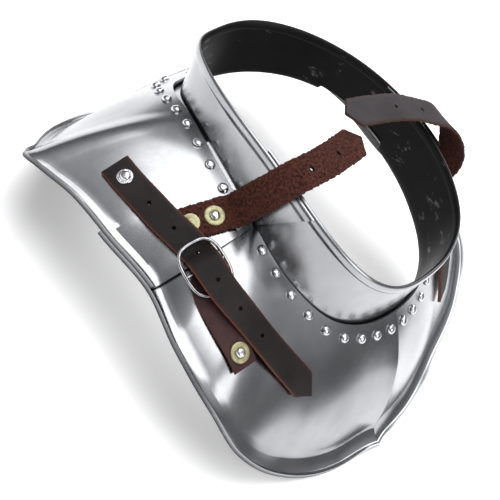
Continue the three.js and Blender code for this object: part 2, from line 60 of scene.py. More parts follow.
# Floor and lights: a pale matt floor with a faint glow of its own to lift the shadows, a wide softbox
# overhead and two fainter ones, and a world that is bright above and dimmer round the horizon, so that
# the polished steel has something to show.
floor_mesh = bpy.data.meshes.new("floor")
floor_mesh.from_pydata([(-4, -4, 0), (4, -4, 0), (4, 4, 0), (-4, 4, 0)], [], [(0, 1, 2, 3)])
floor = bpy.data.objects.new("floor", floor_mesh)
bpy.context.scene.collection.objects.link(floor)
floor_paint = bpy.data.materials.new("floor_paint")
floor_paint.use_nodes = True
floor_shader = floor_paint.node_tree.nodes["Principled BSDF"]
floor_shader.inputs["Base Color"].default_value = (0.86, 0.86, 0.86, 1)
floor_shader.inputs["Roughness"].default_value = 0.9
floor_shader.inputs["Emission Color"].default_value = (1, 1, 1, 1)
floor_shader.inputs["Emission Strength"].default_value = 0.3
floor_shader.inputs["Specular IOR Level"].default_value = 0.1
floor_mesh.materials.append(floor_paint)


def softbox(name, place, size, power):
    light = bpy.data.lights.new(name, "AREA")
    light.shape = "RECTANGLE"
    light.size, light.size_y = size
    light.energy = power
    lamp = bpy.data.objects.new(name, light)
    bpy.context.scene.collection.objects.link(lamp)
    lamp.location = place
    aim = Vector((0, 0, 0.08)) - Vector(place)
    lamp.rotation_euler = aim.to_track_quat("-Z", "Y").to_euler()


softbox("overhead", (-0.1, 0.25, 1.7), (2.2, 1.8), 36)
softbox("front_side", (-0.4, -1.6, 1.0), (1.2, 1.2), 12)
softbox("far_side", (1.5, 0.5, 1.1), (1.1, 1.1), 14)

world = bpy.data.worlds.new("studio")
bpy.context.scene.world = world
world.use_nodes = True
sky = world.node_tree
direction = sky.nodes.new("ShaderNodeTexCoord")
split = sky.nodes.new("ShaderNodeSeparateXYZ")
heights = sky.nodes.new("ShaderNodeValToRGB")
heights.color_ramp.elements[0].position = 0.0
heights.color_ramp.elements[0].color = (0.55, 0.56, 0.58, 1)
heights.color_ramp.elements[1].position = 1.0
heights.color_ramp.elements[1].color = (0.95, 0.96, 1.0, 1)
for place, tone in ((0.12, 0.22), (0.35, 0.28), (0.6, 0.6)):
    mark = heights.color_ramp.elements.new(place)
    mark.color = (tone, tone, tone * 1.03, 1)
sky.links.new(direction.outputs["Generated"], split.inputs[0])
sky.links.new(split.outputs["Z"], heights.inputs["Fac"])
sky.links.new(heights.outputs["Color"], sky.nodes["Background"].inputs["Color"])
sky.nodes["Background"].inputs["Strength"].default_value = 0.9
bpy.context.scene.view_settings.view_transform = "Standard"


# Steel: the outside is polished, with faint rubbing marks and soft dents from the hammer. The inside
# of the collars and the underside of the plates are blackened, and scuffed back to metal in places.
def node(tree, kind, **inputs):
    made = tree.nodes.new(kind)
    for name, value in inputs.items():
        made.inputs[name.replace("_", " ")].default_value = value
    return made


def new_material(name):
    material = bpy.data.materials.new(name)
    material.use_nodes = True
    tree = material.node_tree
    shader = tree.nodes["Principled BSDF"]
    place = tree.nodes.new("ShaderNodeTexCoord").outputs["Object"]
    return material, tree, shader, place


def speckle(tree, place, scale, detail, rough=0.5, stretch=None):
    source = place
    if stretch:
        mapping = tree.nodes.new("ShaderNodeMapping")
        mapping.inputs["Scale"].default_value = stretch
        tree.links.new(place, mapping.inputs["Vector"])
        source = mapping.outputs["Vector"]
    made = node(tree, "ShaderNodeTexNoise", Scale=scale, Detail=detail, Roughness=rough)
    tree.links.new(source, made.inputs["Vector"])
    return made.outputs["Fac"]


def ramp(tree, value, stops):
    made = tree.nodes.new("ShaderNodeValToRGB")
    first, last = made.color_ramp.elements[0], made.color_ramp.elements[1]
    first.position, first.color = stops[0][0], (*stops[0][1], 1)
    last.position, last.color = stops[-1][0], (*stops[-1][1], 1)
    for position, colour in stops[1:-1]:
        made.color_ramp.elements.new(position).color = (*colour, 1)
    tree.links.new(value, made.inputs["Fac"])
    return made.outputs["Color"]


def blend(tree, factor, low, high):
    made = tree.nodes.new("ShaderNodeMix")
    made.data_type = "RGBA"
    tree.links.new(factor, made.inputs["Factor"])
    for socket, value in ((made.inputs["A"], low), (made.inputs["B"], high)):
        if isinstance(value, tuple):
            socket.default_value = (*value, 1)
        else:
            tree.links.new(value, socket)
    return made.outputs["Result"]


def relief(tree, shader, layers):
    last = None
    for height, strength, depth in layers:
        bump = node(tree, "ShaderNodeBump", Strength=strength, Distance=depth)
        tree.links.new(height, bump.inputs["Height"])
        if last:
            tree.links.new(last, bump.inputs["Normal"])
        last = bump.outputs["Normal"]
    tree.links.new(last, shader.inputs["Normal"])


def marked(tree, name):
    made = tree.nodes.new("ShaderNodeAttribute")
    made.attribute_name = name
    return made.outputs["Fac"]


steel, tree, shader, place = new_material("polished_steel")
inside = marked(tree, "inside")
fine = speckle(tree, place, 900, 4, stretch=(1, 1, 0.15))
broad = speckle(tree, place, 30, 3)
dents = speckle(tree, place, 26, 1)
scuffs = speckle(tree, place, 55, 6, 0.7, (1, 1, 2.2))
outer = ramp(tree, broad, [(0.3, (0.27, 0.275, 0.285)), (0.7, (0.36, 0.365, 0.375))])
BLACKENED, WORN, BARE = (0.006, 0.006, 0.006), (0.009, 0.009, 0.009), (0.15, 0.15, 0.16)
inner = ramp(tree, scuffs, [(0.0, BLACKENED), (0.61, WORN), (0.70, BARE)])
tree.links.new(blend(tree, inside, outer, inner), shader.inputs["Base Color"])
polish = ramp(tree, fine, [(0.35, (0.20, 0.20, 0.20)), (0.75, (0.27, 0.27, 0.27))])
satin = (0.42, 0.42, 0.42)
tree.links.new(blend(tree, inside, polish, satin), shader.inputs["Roughness"])
metal = blend(tree, inside, (1.0, 1.0, 1.0), (0.2, 0.2, 0.2))
tree.links.new(metal, shader.inputs["Metallic"])
shader.inputs["Specular IOR Level"].default_value = 0.12
relief(tree, shader, [(dents, 0.2, 0.001)])


# The plates: sheet steel beaten to shape, with a border turned outwards and its edge rolled to a
# bead. The front plate rises to a keel; the back plate is squared and lies over the front at the sides.
STEEL = 1.5
FLANGE_LAYER = STEEL + 1.15
PLATE_LAYER = STEEL + 1.25
BORDER = 11
SHIFT = Vector((0, 18.926, 0.633))
PLATE_EDGE = [
    (0, 133, 3), (17, 138, 0), (40, 152, 7), (57, 170, 28), (68, 173, 47), (80, 163, 55),
    (94, 147, 56), (109, 156, 56), (119, 165, 53), (126, 178, 47), (129.5, 185, 43),
    (136, 171, 33), (154, 150, 15), (171, 138.5, 6), (180, 137.5, 4),
]


def smooth(value, low, high):
    t = min(max((value - low) / (high - low), 0), 1)
    return t * t * (3 - 2 * t)


def table(column, angle):
    i = 0
    while i < len(PLATE_EDGE) - 2 and angle > PLATE_EDGE[i + 1][0]:
        i += 1
    before, start = PLATE_EDGE[max(i - 1, 0)], PLATE_EDGE[i]
    end, after = PLATE_EDGE[i + 1], PLATE_EDGE[min(i + 2, len(PLATE_EDGE) - 1)]
    span = end[0] - start[0]
    t = (angle - start[0]) / span
    leave = 0 if i == 0 else (end[column] - before[column]) / (end[0] - before[0]) * span
    arrive = (after[column] - start[column]) / (after[0] - start[0]) * span
    return (start[column] * (2 * t**3 - 3 * t**2 + 1) + leave * (t**3 - 2 * t**2 + t)
            + end[column] * (3 * t**2 - 2 * t**3) + arrive * (t**3 - t**2))


def loop(length, width, shift, egg, power, degrees, height):
    c, s = math.cos(math.radians(degrees)), math.sin(math.radians(degrees))
    swell = (abs(c) ** power + abs(s) ** power) ** (-1 / power)
    return Vector((-width * s * swell * (1 + egg * c), -(shift + length * c * swell), height))


def rim_point(degrees):
    return loop(98.5, 76.5, 0, 0.18, 2.55, degrees, 121 - 11 * math.cos(2 * math.radians(degrees)))


def seam_point(degrees):
    angle = math.radians(degrees)
    height = 85.5 - 11 * math.cos(2 * angle) + 4.8 * math.cos(3 * angle)
    return loop(92, 79.5, 6, 0.2, 2.35, degrees, height)


def edge_point(degrees):
    swing = abs(degrees) if abs(degrees) <= 180 else 360 - abs(degrees)
    sign = -1 if math.sin(math.radians(degrees)) < 0 else 1
    reach, angle = table(1, swing), math.radians(swing)
    return Vector((-sign * reach * math.sin(angle), -(20 + reach * math.cos(angle)), table(2, swing)))


def plate_run(degrees):
    return (edge_point(degrees) - seam_point(degrees)).xy.length


def plate_point(degrees, v):
    seam, edge = seam_point(degrees), edge_point(degrees)
    out = Vector((edge.x - seam.x, edge.y - seam.y, 0))
    run = out.length
    out.normalize()
    slope = (seam.z - edge.z) / run
    border = BORDER / run
    bend = edge - BORDER * out
    bend.z += BORDER * slope * 0.35
    t = min(v / (1 - border), 1)
    point = seam.lerp(bend, t)
    point += Vector((out.x * slope, out.y * slope, 1)).normalized() * (28 * t * (1 - t))
    if v > 1 - border:
        share = (v - 1 + border) / border
        point = bend.lerp(edge, share) - Vector((0, 0, 1.6 * math.sin(math.pi * share)))
    ahead = math.exp(-abs(point.x) / 13) if math.cos(math.radians(degrees)) > 0 else 0
    point.y -= 4 * ahead * min(max(v * 3, 0), 1)
    return point


def plate_normal(degrees, v):
    v = min(v, 0.998)
    along = plate_point(degrees + 0.2, v) - plate_point(degrees - 0.2, v)
    down = plate_point(degrees, v + 0.002) - plate_point(degrees, v)
    return along.cross(down).normalized()


def plate_layer(degrees, v, lift):
    return plate_point(degrees, v) + lift * plate_normal(degrees, v)


def wall_shift(parting, degrees):
    full, none, shift = parting
    swing = abs(degrees) if abs(degrees) <= 180 else 360 - abs(degrees)
    return shift * (1 - smooth((swing - full) / (none - full), 0, 1))


def leaning(angle, v, seam_end, edge_end, middle):
    share = min(max((angle - middle) / (seam_end - middle), -1), 1)
    lean = (edge_end - seam_end) * abs(share) ** 6
    return angle + (lean if share > 0 else -lean) * v


def shell(name, grid, half, material):
    """A wall from a grid of points on its middle, in millimetres, with half(i, j, side) to each skin."""
    cols, rows = len(grid), len(grid[0])
    skins = {1: [], -1: []}
    for i in range(cols):
        for j in range(rows):
            along = grid[min(i + 1, cols - 1)][j] - grid[max(i - 1, 0)][j]
            down = grid[i][max(j - 1, 0)] - grid[i][min(j + 1, rows - 1)]
            normal = down.cross(along).normalized()
            for side in skins:
                skins[side].append((grid[i][j] + side * half(i, j, side) * normal + SHIFT) * 0.001)
    count = cols * rows
    faces = []
    for i in range(cols - 1):
        for j in range(rows - 1):
            a, b, c, d = i * rows + j, (i + 1) * rows + j, (i + 1) * rows + j + 1, i * rows + j + 1
            faces += [(a, b, c, d), (a + count, d + count, c + count, b + count)]
    ring = [i * rows for i in range(cols)] + [(cols - 1) * rows + j for j in range(1, rows)]
    ring += [i * rows + rows - 1 for i in range(cols - 2, -1, -1)] + list(range(rows - 2, 0, -1))
    for a, b in zip(ring, ring[1:] + ring[:1]):
        faces.append((b, a, a + count, b + count))
    mesh = bpy.data.meshes.new(name)
    mesh.from_pydata(skins[1] + skins[-1], [], faces)
    work = bmesh.new()
    work.from_mesh(mesh)
    bmesh.ops.recalc_face_normals(work, faces=work.faces)
    work.to_mesh(mesh)
    work.free()
    mark = mesh.attributes.new("inside", "FLOAT", "POINT")
    mark.data.foreach_set("value", [0.0] * count + [1.0] * count)
    mesh.materials.append(material)
    piece = bpy.data.objects.new(name, mesh)
    bpy.context.scene.collection.objects.link(piece)
    return piece


def smoothed(piece, degrees):
    mesh = piece.data
    mesh.polygons.foreach_set("use_smooth", [True] * len(mesh.polygons))
    mesh.set_sharp_from_angle(angle=math.radians(degrees))
    return piece


def on_frame(piece, finish, *nodes):
    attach(piece, "root")
    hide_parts(*nodes)


FRONT_SHIFT = (62, 34, -1.9)
BACK_SHIFT = (104, 142, 1.9)
FRONT_ANGLES = [98 * k / 90 for k in range(-90, 91)]
FRONT_ANGLES = sorted(set(FRONT_ANGLES + [-0.25, 0.25, -0.6, 0.6]))
BACK_ANGLES = [84 + 192 * k / 176 for k in range(177)]


def plate(name, angles, lean, lift, parting):
    grid = []
    for angle in angles:
        run = plate_run(angle)
        neck = (2 + wall_shift(parting, angle)) / run
        bend = 1 - BORDER / run
        rows = [neck + (bend - neck) * k / 20 for k in range(21)]
        rows += [bend + (1 - bend) * k / 13 for k in range(1, 14)]
        grid.append([plate_layer(lean(angle, v), v, lift) for v in rows])
    rolled = {31: 0.5, 32: 1.1, 33: 1.3, 34: 0.7}

    def half(i, j, side):
        bead = rolled.get(j, 0) if side > 0 else 0
        lip = 0.35 if side > 0 and j < 1 else 0
        return STEEL / 2 + bead + lip

    return smoothed(shell(name, grid, half, steel), 50)


def front_lean(angle, v):
    return leaning(angle, v, 98, 110, 0)


def back_lean(angle, v):
    return leaning(angle, v, *((84, 94) if angle <= 180 else (276, 266)), 180)


front_plate = plate("front_plate_skin", FRONT_ANGLES, front_lean, 0, FRONT_SHIFT)
back_plate = plate("back_plate_skin", BACK_ANGLES, back_lean, PLATE_LAYER, BACK_SHIFT)
on_frame(front_plate, "polished_steel", "front_plate")
on_frame(back_plate, "polished_steel", "back_plate")


# The collars: each a standing wall bent up from a flange that is riveted under its plate. The rim
# is folded over to a hem, which shows as a step inside and out.
def ring_normal(point, degrees):
    along = point(degrees + 0.3) - point(degrees - 0.3)
    return Vector((-along.y, along.x, 0)).normalized()


def collar(name, angles, ends, middle, parting, flange_lift, flange_reach):
    grid = []
    for angle in angles:
        column = []
        side = -1 if angle < middle else 1
        foot, head = middle + side * ends[0], middle + side * ends[1]
        swing = abs(middle - angle)
        outset = wall_shift(parting, angle)
        out = ring_normal(seam_point, angle)
        low = seam_point(angle) + outset * out
        run = plate_run(angle)
        if swing < flange_reach:
            taper = 1 - smooth(swing, flange_reach - 16, flange_reach)
            for k in range(4):
                reach = (2.2 + outset + (0.4 + 9 * taper) * (1 - k / 3)) / run
                column.append(plate_layer(angle, reach, flange_lift))
            root = column[-1]
            top = low + Vector((0, 0, 2.4))
            for k in (1, 2, 3):
                t = k / 4
                column.append(root * (1 - t) ** 2 + low * 2 * t * (1 - t) + top * t * t)
        marks = [2.4 + 0.1 * k for k in range(7 - len(column))]
        length = (rim_point(angle) - low).length
        marks += [3.4 + (length - 10.4) * k / 12 for k in range(13)]
        marks += [length - d for d in (6.3, 5.9, 5.4, 4.8, 3.6, 2.2, 1.2, 0.5, 0.15, 0)]
        for mark in marks:
            degrees = leaning(angle, mark / length, foot, head, middle)
            base = seam_point(degrees) + wall_shift(parting, degrees) * ring_normal(seam_point, degrees)
            rim = rim_point(degrees) + wall_shift(parting, degrees) * ring_normal(rim_point, degrees)
            column.append(base.lerp(rim, mark / length))
        grid.append(column[::-1])
    fold = [-0.5, -0.25, 0.15, 0.55, 0.8, 0.85, 0.8, 0.55, 0.15, 0]

    def half(i, j, side):
        return STEEL / 2 + (fold[j] if j < 10 else 0)

    return smoothed(shell(name, grid, half, steel), 50)


front_walls = [86 * k / 90 for k in range(-90, 91)]
front_collar = collar("front_collar_skin", front_walls, (86, 96), 0, FRONT_SHIFT, -FLANGE_LAYER, 90)
back_lift = PLATE_LAYER - FLANGE_LAYER
back_collar = collar("back_collar_skin", BACK_ANGLES, (96, 112), 180, BACK_SHIFT, back_lift, 62)
on_frame(front_collar, "polished_steel", "front_collar")
on_frame(back_collar, "polished_steel", "back_collar")


# The collar rivets: round steel heads set by hand at even steps along the seam, each a little
# different and slightly flattened by the hammer.
def worked_metal(name, grain, detail, dark, light, metallic, roughness, strength, depth):
    material, tree, shader, place = new_material(name)
    marks = speckle(tree, place, grain, detail)
    tree.links.new(ramp(tree, marks, [(0.3, dark), (0.7, light)]), shader.inputs["Base Color"])
    shader.inputs["Metallic"].default_value = metallic
    shader.inputs["Roughness"].default_value = roughness
    relief(tree, shader, [(marks, strength, depth)])
    return material


rivet_steel = worked_metal(
    "rivet_steel", 420, 2, (0.42, 0.42, 0.44), (0.66, 0.66, 0.67), 1, 0.16, 0.6, 0.0006)


def lathe(name, profile, sides, material):
    """Profile of (radius, height) in millimetres, closed on the axis at both ends."""
    verts, faces = [], []
    for radius, height in profile[1:-1]:
        for k in range(sides):
            angle = 2 * math.pi * k / sides
            verts.append((radius * math.cos(angle) / 1000, radius * math.sin(angle) / 1000, height / 1000))
    low, high = len(verts), len(verts) + 1
    verts += [(0, 0, profile[0][1] / 1000), (0, 0, profile[-1][1] / 1000)]
    rings = len(profile) - 2
    for k in range(sides):
        n = (k + 1) % sides
        faces.append((low, n, k))
        faces.append((high, (rings - 1) * sides + k, (rings - 1) * sides + n))
        for r in range(rings - 1):
            faces.append((r * sides + k, r * sides + n, (r + 1) * sides + n, (r + 1) * sides + k))
    mesh = bpy.data.meshes.new(name)
    mesh.from_pydata(verts, [], faces)
    mesh.materials.append(material)
    piece = bpy.data.objects.new(name, mesh)
    bpy.context.scene.collection.objects.link(piece)
    return smoothed(piece, 40)


def even_angles(middle, count, pitch):
    angles, angle, odd = [], middle, count % 2 == 1
    walked, last = (-pitch if odd else -pitch / 2), seam_point(middle)
    while len(angles) < count // 2:
        angle += 0.25
        step = seam_point(angle)
        walked += (step - last).length
        last = step
        if walked >= 0:
            angles.append(angle)
            walked -= pitch
    return [2 * middle - a for a in reversed(angles)] + ([middle] if odd else []) + angles


def rivet_group(material):
    group = bpy.data.node_groups.new("set_rivets", "GeometryNodeTree")
    face = group.interface
    face.new_socket("Geometry", in_out="INPUT", socket_type="NodeSocketGeometry")
    face.new_socket("Rivet", in_out="INPUT", socket_type="NodeSocketObject")
    face.new_socket("Unevenness", in_out="INPUT", socket_type="NodeSocketFloat")
    face.new_socket("Seed", in_out="INPUT", socket_type="NodeSocketInt")
    face.new_socket("Geometry", in_out="OUTPUT", socket_type="NodeSocketGeometry")
    add, link = group.nodes.new, group.links.new
    given, result = add("NodeGroupInput"), add("NodeGroupOutput")
    facing = add("GeometryNodeInputNamedAttribute")
    facing.data_type = "FLOAT_VECTOR"
    facing.inputs["Name"].default_value = "facing"
    aligned = add("FunctionNodeAlignRotationToVector")
    aligned.axis = "Z"
    link(facing.outputs["Attribute"], aligned.inputs["Vector"])
    info = add("GeometryNodeObjectInfo")
    link(given.outputs["Rivet"], info.inputs["Object"])
    size = add("FunctionNodeRandomValue")
    size.data_type = "FLOAT"
    low = add("ShaderNodeMath")
    low.operation = "SUBTRACT"
    low.inputs[0].default_value = 1.0
    link(given.outputs["Unevenness"], low.inputs[1])
    link(low.outputs[0], size.inputs[2])
    size.inputs[3].default_value = 1.0
    link(given.outputs["Seed"], size.inputs["Seed"])
    place = add("GeometryNodeInstanceOnPoints")
    link(given.outputs["Geometry"], place.inputs["Points"])
    link(info.outputs["Geometry"], place.inputs["Instance"])
    link(aligned.outputs["Rotation"], place.inputs["Rotation"])
    link(size.outputs[1], place.inputs["Scale"])
    real = add("GeometryNodeRealizeInstances")
    painted = add("GeometryNodeSetMaterial")
    painted.inputs["Material"].default_value = material
    link(place.outputs["Instances"], real.inputs[0])
    link(real.outputs[0], painted.inputs["Geometry"])
    link(painted.outputs[0], result.inputs[0])
    return group


def rivet_row(name, group, dome, seats, finish, nodes):
    mesh = bpy.data.meshes.new(name)
    mesh.from_pydata([seat for seat, normal in seats], [], [])
    facing = mesh.attributes.new("facing", "FLOAT_VECTOR", "POINT")
    facing.data.foreach_set("vector", [c for seat, normal in seats for c in normal])
    row = bpy.data.objects.new(name, mesh)
    bpy.context.scene.collection.objects.link(row)
    modifier = row.modifiers.new("rivets", "NODES")
    modifier.node_group = group
    sockets = {s.name: s.identifier for s in group.interface.items_tree if s.in_out == "INPUT"}
    modifier[sockets["Rivet"]] = dome
    modifier[sockets["Unevenness"]] = 0.07
    modifier[sockets["Seed"]] = 4
    graph = bpy.context.evaluated_depsgraph_get()
    plain = bpy.data.meshes.new_from_object(row.evaluated_get(graph), depsgraph=graph)
    row.modifiers.remove(modifier)
    row.data = plain
    on_frame(smoothed(row, 60), finish, *nodes)


def seam_seats(middle, count, pitch, lift, parting):
    seats = []
    for angle in even_angles(middle, count, pitch):
        v = (RIVET_INSET + wall_shift(parting, angle)) / plate_run(angle)
        seats.append(((plate_layer(angle, v, lift) + SHIFT) * 0.001, plate_normal(angle, v)))
    return seats


RIVET_INSET = 6.5
RIVET_SEAT = STEEL / 2 + 0.2
FRONT_RIVETS, FRONT_PITCH = 18, 14.6
BACK_RIVETS, BACK_PITCH = 17, 15
ROUND = [math.radians(a) for a in (0, 14, 28, 42, 56, 70, 82)]
dome_profile = [(0, 0), *[(3.4 * math.cos(a) ** 0.8, 2.4 * math.sin(a)) for a in ROUND], (0, 2.4)]
dome = lathe("collar_rivet_pattern", dome_profile, 24, rivet_steel)
rivet_nodes = rivet_group(rivet_steel)
front_seats = seam_seats(0, FRONT_RIVETS, FRONT_PITCH, RIVET_SEAT, FRONT_SHIFT)
back_seats = seam_seats(180, BACK_RIVETS, BACK_PITCH, PLATE_LAYER + RIVET_SEAT, BACK_SHIFT)
rivet_row("front_rivets", rivet_nodes, dome, front_seats, "rivet_steel",
          [f"front_collar_rivet_{k + 1}" for k in range(FRONT_RIVETS)])
rivet_row("back_rivets", rivet_nodes, dome, back_seats, "rivet_steel",
          [f"back_collar_rivet_{k + 1}" for k in range(BACK_RIVETS)])
bpy.data.objects.remove(dome)


# Leather: one face of a hide is smooth grain and the other is rough flesh. The side straps and the
# left shoulder strap lie grain side up, with paler cut edges, as do the chapes; the right shoulder
# strap lies flesh side up.
def leather_face_group():
    """One face of a hide: its mottled colour, and the heights of its wear and of its pores or nap."""
    group = bpy.data.node_groups.new("leather_face", "ShaderNodeTree")
    for name, kind in (("Place", "Vector"), ("Grain", "Float"), ("Mottle", "Float"),
                       ("Dark", "Color"), ("Light", "Color")):
        group.interface.new_socket(name, in_out="INPUT", socket_type=f"NodeSocket{kind}")
    for name, kind in (("Color", "Color"), ("Wear", "Float"), ("Pores", "Float")):
        group.interface.new_socket(name, in_out="OUTPUT", socket_type=f"NodeSocket{kind}")
    start, end = group.nodes.new("NodeGroupInput"), group.nodes.new("NodeGroupOutput")
    wear = node(group, "ShaderNodeTexNoise", Detail=4, Roughness=0.6)
    pores = node(group, "ShaderNodeTexNoise", Detail=5, Roughness=0.65)
    for noise_node, scale in ((wear, "Mottle"), (pores, "Grain")):
        group.links.new(start.outputs["Place"], noise_node.inputs["Vector"])
        group.links.new(start.outputs[scale], noise_node.inputs["Scale"])
    spread = node(group, "ShaderNodeMapRange")
    spread.inputs["From Min"].default_value, spread.inputs["From Max"].default_value = 0.33, 0.67
    group.links.new(wear.outputs["Fac"], spread.inputs["Value"])
    colour = group.nodes.new("ShaderNodeMix")
    colour.data_type = "RGBA"
    group.links.new(spread.outputs["Result"], colour.inputs["Factor"])
    for socket, name in ((colour.inputs[6], "Dark"), (colour.inputs[7], "Light")):
        group.links.new(start.outputs[name], socket)
    group.links.new(colour.outputs[2], end.inputs["Color"])
    group.links.new(wear.outputs["Fac"], end.inputs["Wear"])
    group.links.new(pores.outputs["Fac"], end.inputs["Pores"])
    return group


leather_face = leather_face_group()
GRAIN_SIDE = (1400, 45, (0.006, 0.0045, 0.0045), (0.014, 0.010, 0.010))
PURPLE_SIDE = (1400, 30, (0.016, 0.012, 0.014), (0.034, 0.026, 0.029))
MAROON_SIDE = (1400, 60, (0.022, 0.011, 0.0115), (0.05, 0.02, 0.02))
FLESH_SIDE = (1300, 620, (0.011, 0.0038, 0.003), (0.082, 0.026, 0.017))


def leather_material(name, outer, inner, cut_colour, roughness, depth):
    material, tree, shader, place = new_material(name)
    faces = []
    for grain, mottle, dark, light in (outer, inner):
        face = tree.nodes.new("ShaderNodeGroup")
        face.node_tree = leather_face
        tree.links.new(place, face.inputs["Place"])
        face.inputs["Grain"].default_value, face.inputs["Mottle"].default_value = grain, mottle
        face.inputs["Dark"].default_value, face.inputs["Light"].default_value = (*dark, 1), (*light, 1)
        faces.append(face)
    body = blend(tree, marked(tree, "inside"), faces[0].outputs["Color"], faces[1].outputs["Color"])
    tree.links.new(blend(tree, marked(tree, "edge"), body, cut_colour), shader.inputs["Base Color"])
    shader.inputs["Roughness"].default_value = roughness
    shader.inputs["Specular IOR Level"].default_value = 0.16
    wear, pores = faces[0].outputs["Wear"], faces[0].outputs["Pores"]
    relief(tree, shader, [(wear, 0.25, 0.0015), (pores, depth, 0.0006)])
    return material


ORANGE_CUT, DARK_CUT = (0.10, 0.032, 0.016), (0.05, 0.02, 0.014)
smooth_leather = leather_material("smooth_leather", GRAIN_SIDE, FLESH_SIDE, ORANGE_CUT, 0.6, 0.3)
rough_leather = leather_material("rough_leather", GRAIN_SIDE, FLESH_SIDE, DARK_CUT, 1.0, 1.0)
maroon_leather = leather_material("maroon_leather", FLESH_SIDE, MAROON_SIDE, DARK_CUT, 0.6, 0.3)
purple_leather = leather_material("purple_leather", PURPLE_SIDE, FLESH_SIDE, DARK_CUT, 0.62, 0.3)


def catmull(points, count):
    """Evenly spaced places along a centripetal spline through the points."""
    points = [2 * points[0] - points[1], *points, 2 * points[-1] - points[-2]]
    dense = []
    for p0, p1, p2, p3 in zip(points, points[1:], points[2:], points[3:]):
        d0, d1, d2 = (max((b - a).length, 1e-6) ** 0.5 for a, b in ((p0, p1), (p1, p2), (p2, p3)))
        m1 = ((p1 - p0) / d0 - (p2 - p0) / (d0 + d1) + (p2 - p1) / d1) * d1
        m2 = ((p2 - p1) / d1 - (p3 - p1) / (d1 + d2) + (p3 - p2) / d2) * d1
        for k in range(24):
            t = k / 24
            dense.append(p1 * (2 * t**3 - 3 * t**2 + 1) + m1 * (t**3 - 2 * t**2 + t)
                         + p2 * (3 * t**2 - 2 * t**3) + m2 * (t**3 - t**2))
    dense.append(points[-2])
    walked = [0]
    for a, b in zip(dense, dense[1:]):
        walked.append(walked[-1] + (b - a).length)
    places, k = [], 0
    for step in range(count + 1):
        goal = walked[-1] * step / count
        while k < len(walked) - 2 and walked[k + 1] < goal:
            k += 1
        share = (goal - walked[k]) / max(walked[k + 1] - walked[k], 1e-9)
        places.append((dense[k].lerp(dense[k + 1], share), k / 24 + share / 24))
    return places, walked[-1]


def mirrored(piece):
    piece.data.transform(Matrix.Scale(-1, 4, (1, 0, 0)))
    piece.data.flip_normals()


class Strap:
    """A strip of leather along a route: places, width directions and upward normals, in millimetres."""

    def __init__(self, points, across, count=170):
        places, self.length = catmull(points, count)
        self.places = [p for p, u in places]
        self.tangents, self.sides, self.normals = [], [], []
        for i, (p, u) in enumerate(places):
            tangent = (self.places[min(i + 1, count)] - self.places[max(i - 1, 0)]).normalized()
            side = across(u, tangent, i / count)
            side = (side - side.dot(tangent) * tangent).normalized()
            self.tangents.append(tangent)
            self.sides.append(side)
            self.normals.append(tangent.cross(side))

    def at(self, share):
        i = min(round(share * (len(self.places) - 1)), len(self.places) - 1)
        return self.places[i], self.normals[i], self.tangents[i]

    def mesh(self, name, width, thick, tip, ragged, material, holes, mirror=False):
        grid, count = [], len(self.places) - 1
        spread = [-1, -0.97, -0.9, -0.7, -0.4, 0, 0.4, 0.7, 0.9, 0.97, 1]
        for i, place in enumerate(self.places):
            left = self.length * (1 - i / count)
            pointed = min(1, 0.06 + 0.94 * left / tip) if tip else 1
            rough = [ragged * noise.noise(Vector((i * 0.9, s * 7, width))) for s in (-1, 1)]
            column = []
            for s in spread:
                edge = rough[0] if s < 0 else rough[1]
                reach = s * (width / 2 * pointed + edge * abs(s) ** 6 * pointed)
                column.append(place + reach * self.sides[i])
            grid.append(column)
        depth = [0.35, 0.72, 0.95, 1, 1, 1, 1, 1, 0.95, 0.72, 0.35]
        piece = shell(name, grid, lambda i, j, side: thick / 2 * depth[j], material)
        marks = piece.data.attributes.new("edge", "FLOAT", "POINT")
        rows = len(spread)
        worn = [1.0, 0.8, 0.1, 0, 0, 0, 0, 0, 0.1, 0.8, 1.0]
        marks.data.foreach_set("value", [worn[k % rows] for k in range(len(piece.data.vertices))])
        for share in holes:
            piece = self.punch(piece, share)
        if mirror:
            mirrored(piece)
        return smoothed(piece, 55)

    def punch(self, piece, share):
        place, normal, tangent = self.at(share)
        profile = [(0, -4), (1.35, -4), (1.35, 4), (0, 4)]
        drill = lathe("drill", profile, 20, piece.data.materials[0])
        drill.matrix_world = seated((place + SHIFT) * 0.001, normal)
        cut = piece.modifiers.new("hole", "BOOLEAN")
        cut.operation, cut.solver, cut.object = "DIFFERENCE", "EXACT", drill
        bpy.context.view_layer.update()
        graph = bpy.context.evaluated_depsgraph_get()
        plain = bpy.data.meshes.new_from_object(piece.evaluated_get(graph), depsgraph=graph)
        piece.modifiers.remove(cut)
        piece.data = plain
        bpy.data.objects.remove(drill)
        return piece


def seated(place, normal):
    return Matrix.Translation(place) @ Vector((0, 0, 1)).rotation_difference(normal).to_matrix().to_4x4()


# The side straps: leather 2 mm thick with six punched holes, one strap on each side. Each is held to
# the back plate by one rivet, goes through the buckle and lies down over the front plate.
LEATHER = 2
SIDE_WIDTH, SIDE_TIP = 18.8, 11
HOLE_START, HOLE_PITCH, HOLES = 32, 21, 6
BAR_AT = (86.3, 0.53)
SIDE_ROUTE = [
    (121, 0.625, 5.2), (117, 0.628, 5.2), (113, 0.62, 5.4), (108, 0.605, 6.8), (103.5, 0.595, 8.8),
    (98, 0.57, 9.3), (94, 0.55, 8.8), (91.5, 0.54, 8.4), (*BAR_AT, 13.4),
    (81, 0.52, 9.8), (77, 0.5, 7.4), (73, 0.48, 6.4), (63.5, 0.435, 4.8), (55, 0.405, 3.1), (48, 0.415, 3),
    (41.5, 0.455, 3),
]


def on_plates(route):
    def across(u, tangent, share):
        i = min(int(u), len(route) - 2)
        start, end = route[i], route[i + 1]
        angle = start[0] + (end[0] - start[0]) * (u - i)
        return plate_normal(angle, start[1] + (end[1] - start[1]) * (u - i)).cross(tangent)
    return across


